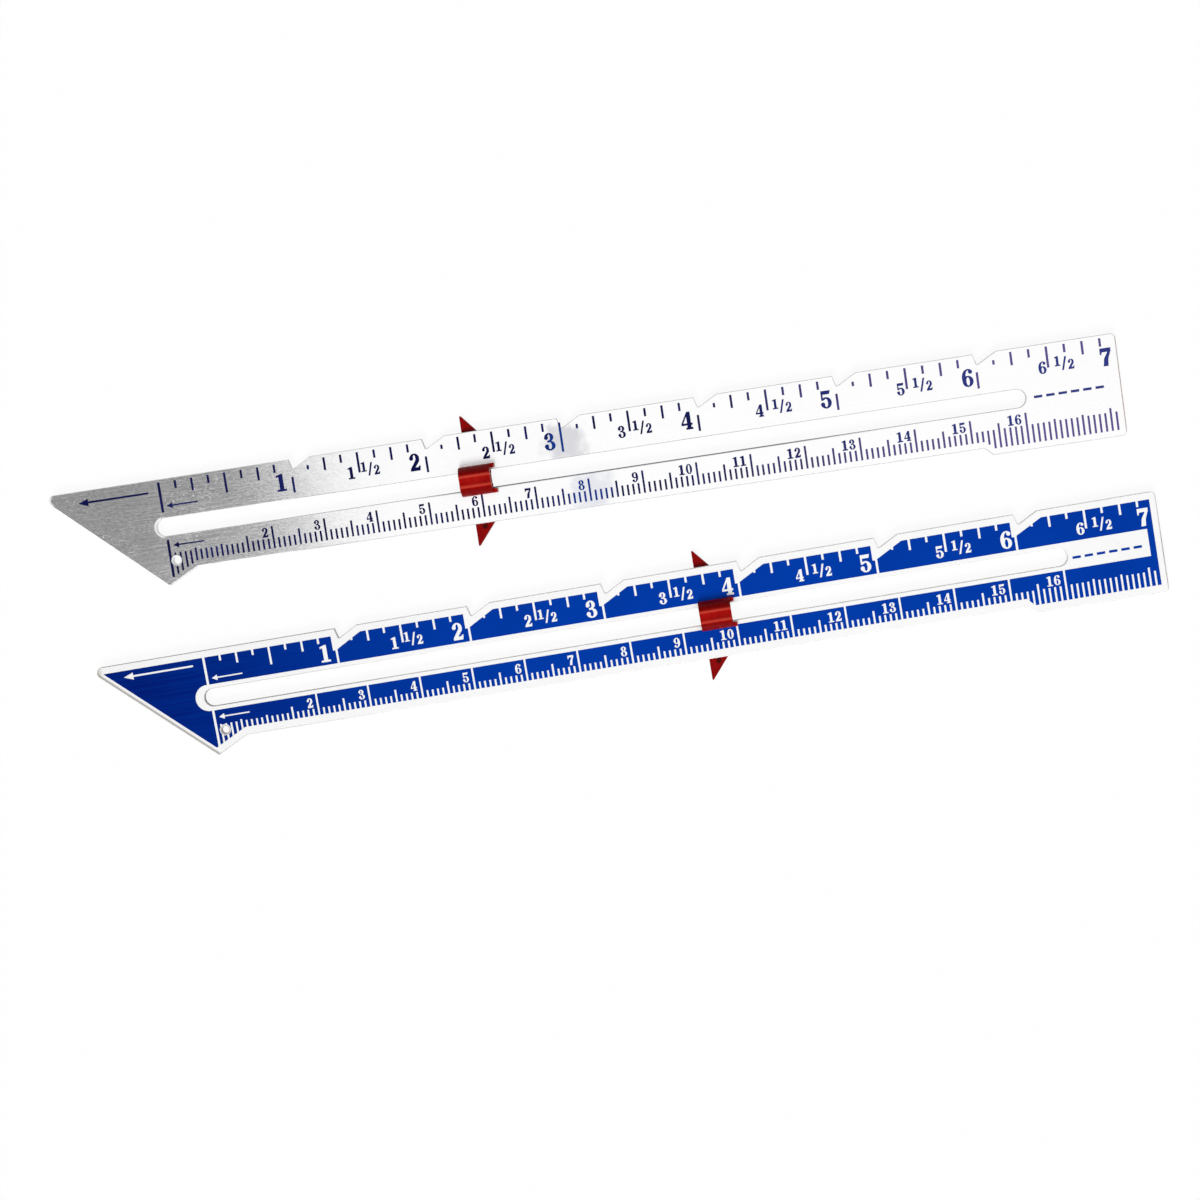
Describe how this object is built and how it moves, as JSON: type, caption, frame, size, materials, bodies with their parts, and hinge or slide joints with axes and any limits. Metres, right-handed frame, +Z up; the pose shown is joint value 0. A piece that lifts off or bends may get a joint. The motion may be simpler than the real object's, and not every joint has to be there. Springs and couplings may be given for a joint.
{
  "type": "sewing gauge",
  "caption": "Sliding seam gauges laid as a pair: slotted aluminium blades with a point, edge notches, inch and centimetre scales, each with a red nylon pointer slider.",
  "frame": {"origin": "middle of the pair's outline, on the surface that the slider plates lie on", "axes": "+X along the silver blade towards the last inch, +Y across it towards the notched inch edge, +Z up out of the printed faces; the blue gauge lies turned 1.25 degrees from it"},
  "size_m": [0.2028, 0.0562, 0.0051],
  "materials": {
    "bare_aluminium": "brushed, fine scratches",
    "red_nylon": "moulded, satin",
    "navy_ink": "screen print, satin",
    "blue_ink": "screen print, satin"
  },
  "bodies": {
    "silver_gauge": {"silver_blade": "bare_aluminium", "silver_inch_lines": "navy_ink", "silver_inch_numbers": "navy_ink", "silver_metric_lines": "navy_ink", "silver_metric_numbers": "navy_ink", "silver_marks": "navy_ink"},
    "silver_gauge_slider": {"silver_slider": "red_nylon"},
    "blue_gauge": {"blue_blade": "bare_aluminium", "blue_point_print": "blue_ink", "blue_inch_print": "blue_ink", "blue_metric_print": "blue_ink", "blue_stitch_mark": "blue_ink"},
    "blue_gauge_slider": {"blue_slider": "red_nylon"}
  },
  "joints": [
    {"name": "silver_slider_travel", "type": "slide", "parent": "silver_gauge", "child": "silver_gauge_slider", "axis": [1, 0, 0], "range_m": [-0.0587, 0.0975]},
    {"name": "blue_gauge_set_apart", "type": "slide", "parent": "silver_gauge", "child": "blue_gauge", "axis": [0, -1, 0], "range_m": [0, 0.05]},
    {"name": "blue_slider_travel", "type": "slide", "parent": "blue_gauge", "child": "blue_gauge_slider", "axis": [0.9998, 0.0218, 0], "range_m": [-0.0941, 0.0621]}
  ]
}
